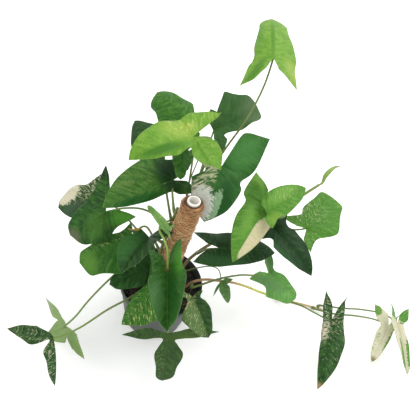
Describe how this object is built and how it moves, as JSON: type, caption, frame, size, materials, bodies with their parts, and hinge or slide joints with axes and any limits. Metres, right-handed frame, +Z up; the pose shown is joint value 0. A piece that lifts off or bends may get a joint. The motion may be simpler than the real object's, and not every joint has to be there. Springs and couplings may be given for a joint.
{
  "type": "potted climbing plant",
  "caption": "Arrowhead plant in a tapered nursery pot, its stems climbing a coir wound tube, with arrow shaped variegated leaves and a trailing runner.",
  "frame": {"origin": "centre of the pot's flat base", "axes": "+Z up, +Y away from the viewer of the picture, +X to the right, towards the trailing runner"},
  "size_m": [0.7252, 0.5602, 0.4988],
  "materials": {
    "pot": "dark charcoal green moulded plastic with a faint sheen",
    "soil": "moist dark potting mix with light specks",
    "tube": "white plastic tube",
    "coir": "rough brown coconut fibre twine wound in turns",
    "stem": "smooth green stem with pinkish brown older parts",
    "lime": "soft satin young leaf, bright yellow green",
    "mid": "satin leaf, mid green with paler veins",
    "dark": "satin leaf, dark green with lighter veins",
    "pale": "satin leaf, pale green",
    "marbled": "satin leaf, green marbled with white and pale green",
    "speckled": "satin leaf, green speckled with cream",
    "cream": "satin leaf, light green with a cream sector",
    "white": "satin leaf, mostly cream white with green edges"
  },
  "bodies": {
    "root": {"pot": "pot", "soil": "soil", "pole_tube": "tube", "coir_wrap": "coir", "stem_left": "stem", "stem_back": "stem", "stem_front": "stem", "stem_right": "stem", "runner": "stem", "new_leaf_rolled": "pale", "leaf_01_crown": "lime", "leaf_02_upper_left": "lime", "leaf_03_back_round": "mid", "leaf_04_back_dark": "dark", "leaf_05_back_right": "dark", "leaf_06_marbled": "marbled", "leaf_07_large_left": "mid", "leaf_08_star": "mid", "leaf_09_narrow": "pale", "leaf_10_lower_left": "mid", "leaf_11_white_left": "marbled", "leaf_12_dark_left": "dark", "leaf_13_low_dark": "dark", "leaf_14_front_large": "mid", "leaf_15_marbled_front": "speckled", "leaf_16_three_lobed": "dark", "leaf_17_front_right": "speckled", "leaf_18_cream": "cream", "leaf_19_cream_twin": "lime", "leaf_20_speckled": "speckled", "leaf_21_darkest": "dark", "leaf_22_slit": "dark", "leaf_23_lower_right": "pale", "leaf_24_small_arrow": "pale", "leaf_25_turned_pale": "pale", "leaf_26_far_left": "marbled", "leaf_27_hanging": "marbled", "leaf_28_end_white": "white", "leaf_29_end_striped": "white", "leaf_30_under_crown": "mid"}
  },
  "joints": []
}
